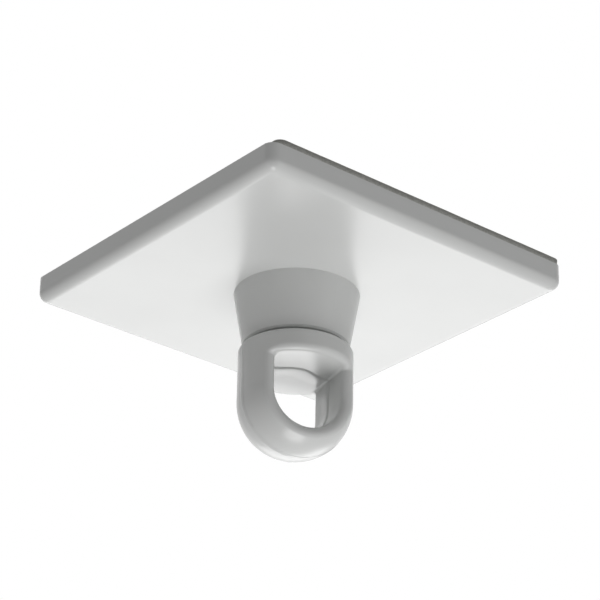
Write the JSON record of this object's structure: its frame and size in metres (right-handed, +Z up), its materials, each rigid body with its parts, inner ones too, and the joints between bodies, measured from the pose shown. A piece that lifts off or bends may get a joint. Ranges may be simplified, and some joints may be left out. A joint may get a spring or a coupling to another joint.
{
  "type": "adhesive hanging button",
  "caption": "Square self-adhesive ceiling plate with a conical boss and a swivelling bullet-shaped eye, for hanging light signs and decorations.",
  "frame": {"origin": "where the swivel axis meets the foam pad's adhesive face", "axes": "+Z up into the ceiling along the swivel axis, X and Y along the plate's sides, the eye hanging towards -Z"},
  "size_m": [0.035, 0.035, 0.0194],
  "materials": {
    "white_plastic": "white injection-moulded plastic with a smooth glossy skin",
    "pad_foam": "matt grey closed-cell foam with a cut edge"
  },
  "bodies": {
    "base": {"ceiling_base": "white_plastic", "adhesive_pad": "pad_foam"},
    "eye": {"swivel_eye": "white_plastic"}
  },
  "joints": [
    {"name": "eye_swivel", "type": "hinge", "parent": "base", "child": "eye", "pos_m": [0, 0, -0.0085], "axis": [0, 0, 1], "continuous": true}
  ]
}
